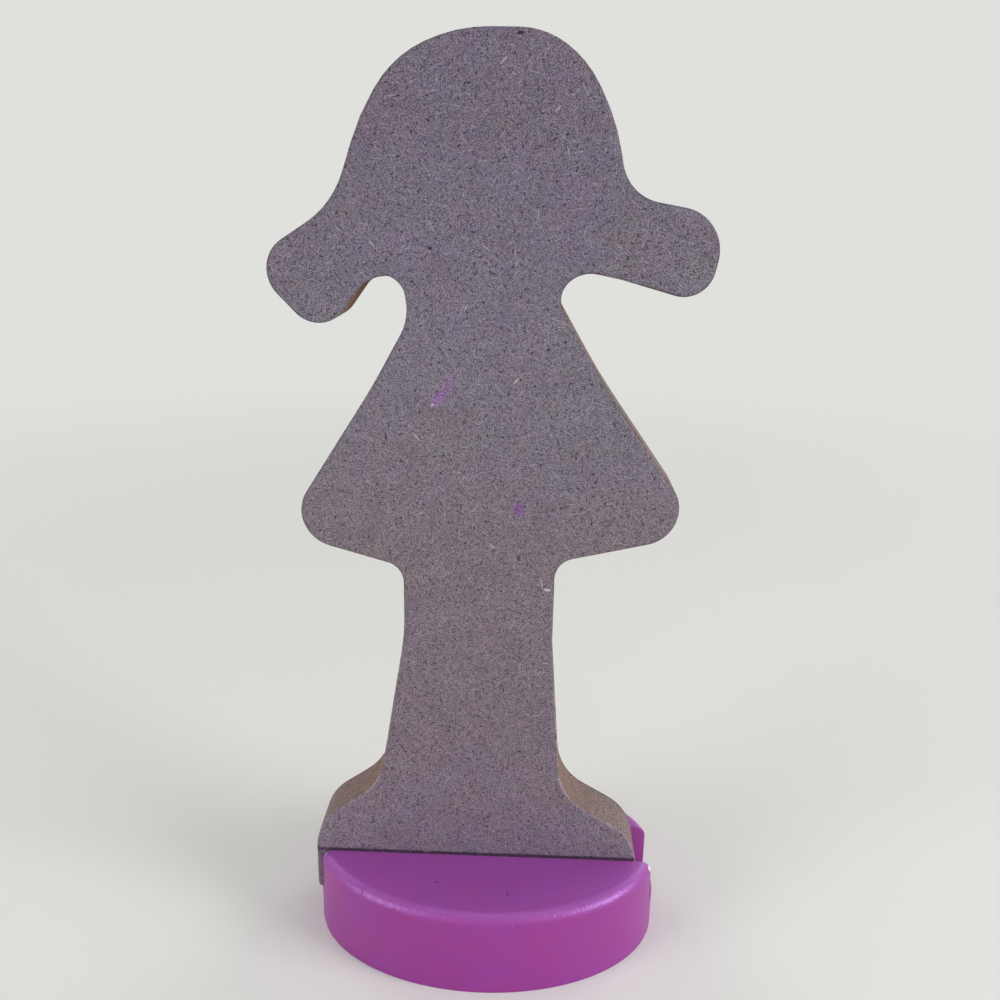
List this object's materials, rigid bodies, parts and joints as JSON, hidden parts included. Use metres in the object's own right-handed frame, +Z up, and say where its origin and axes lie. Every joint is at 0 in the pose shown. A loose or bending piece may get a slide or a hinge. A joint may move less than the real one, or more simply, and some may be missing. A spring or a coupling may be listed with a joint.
{
  "type": "magnetic dress-up doll",
  "caption": "Flat fibreboard figure of a child with pigtails, standing in a slotted oval block, with magnets under its printed front that hold dress-up clothes.",
  "frame": {"origin": "middle of the stand's underside", "axes": "+Z up, -Y out of the bare back that the picture shows, +Y out of the printed front, +X to the picture's right"},
  "size_m": [0.0827, 0.0528, 0.1827],
  "materials": {
    "purple_paint": "gloss purple paint on fibreboard",
    "raw_fibreboard": "raw, unpainted fibreboard",
    "printed_sheet": "satin print",
    "nickel_plating": "nickel-plated magnet"
  },
  "bodies": {
    "stand": {"stand_block": "purple_paint"},
    "doll": {"figure_board": "raw_fibreboard", "printed_facing": "printed_sheet", "head_magnet": "nickel_plating", "chest_magnet": "nickel_plating", "waist_magnet": "nickel_plating", "left_hand_magnet": "nickel_plating", "right_hand_magnet": "nickel_plating", "left_shoe_magnet": "nickel_plating", "right_shoe_magnet": "nickel_plating"}
  },
  "joints": [
    {"name": "doll_lift", "type": "slide", "parent": "stand", "child": "doll", "axis": [0, 0, 1], "range_m": [0, 0.03]}
  ]
}
